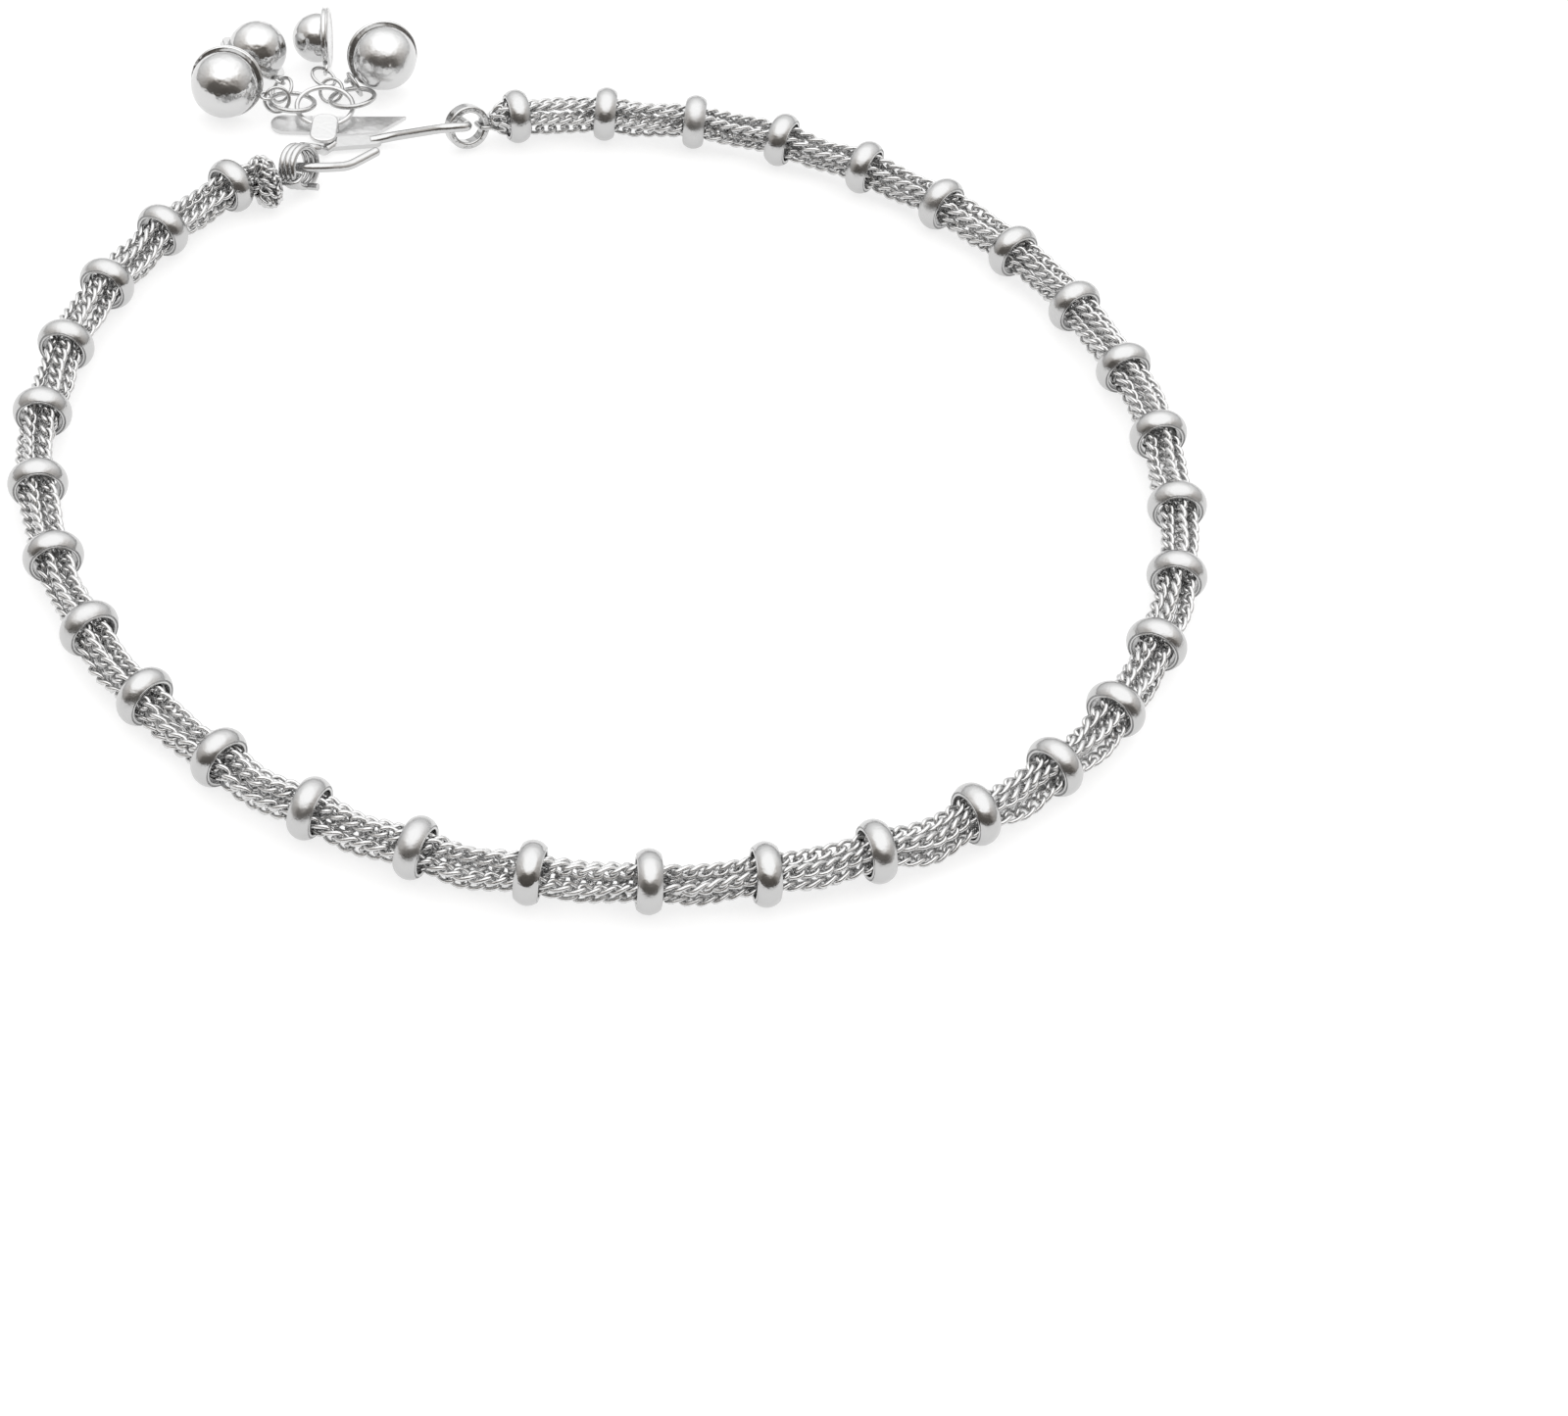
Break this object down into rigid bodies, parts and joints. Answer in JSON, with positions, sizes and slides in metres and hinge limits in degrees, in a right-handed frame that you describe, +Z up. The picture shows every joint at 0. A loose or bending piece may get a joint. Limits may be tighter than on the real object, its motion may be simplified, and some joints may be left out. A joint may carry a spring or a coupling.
{
  "type": "payal anklet",
  "caption": "Silver anklet loop of ring beads on a bundle of fine curb chains, closed by a hook with a leaf tag and a cluster of small bells.",
  "frame": {"origin": "middle of the bounding box at its base, on the surface that the anklet lies on", "axes": "+Z up out of the loop; +Y towards the side of the loop with the clasp's right end ring, +X to the right as the clasp lies at the upper left"},
  "size_m": [0.0904, 0.0948, 0.0061],
  "materials": {
    "bead": "polished bright silver, fine scratches",
    "chain": "bright silver links, darker between them",
    "clasp": "polished silver wire, slightly warm",
    "leaf": "hammered silver sheet, satin",
    "bell": "polished silver, slightly mottled",
    "links": "bright silver wire"
  },
  "bodies": {
    "root": {"bead_01": "bead", "bead_02": "bead", "bead_03": "bead", "bead_04": "bead", "bead_05": "bead", "bead_06": "bead", "bead_07": "bead", "bead_08": "bead", "bead_09": "bead", "bead_10": "bead", "bead_11": "bead", "bead_12": "bead", "bead_13": "bead", "bead_14": "bead", "bead_15": "bead", "bead_16": "bead", "bead_17": "bead", "bead_18": "bead", "bead_19": "bead", "bead_20": "bead", "bead_21": "bead", "bead_22": "bead", "bead_23": "bead", "bead_24": "bead", "bead_25": "bead", "bead_26": "bead", "bead_27": "bead", "bead_28": "bead", "bead_29": "bead", "bead_30": "bead", "bead_31": "bead", "bead_32": "bead", "bell_1": "bell", "bell_2": "bell", "bell_3": "bell", "bell_4": "bell", "bell_link_1": "links", "bell_link_2": "links", "bell_link_3a": "links", "bell_link_3b": "links", "bell_link_4": "links", "chain_bundle": "chain", "hook": "clasp", "jump_ring_left": "links", "jump_ring_right": "links", "leaf_tag": "leaf", "left_end_ring": "clasp", "right_end_ring": "clasp"}
  },
  "joints": []
}
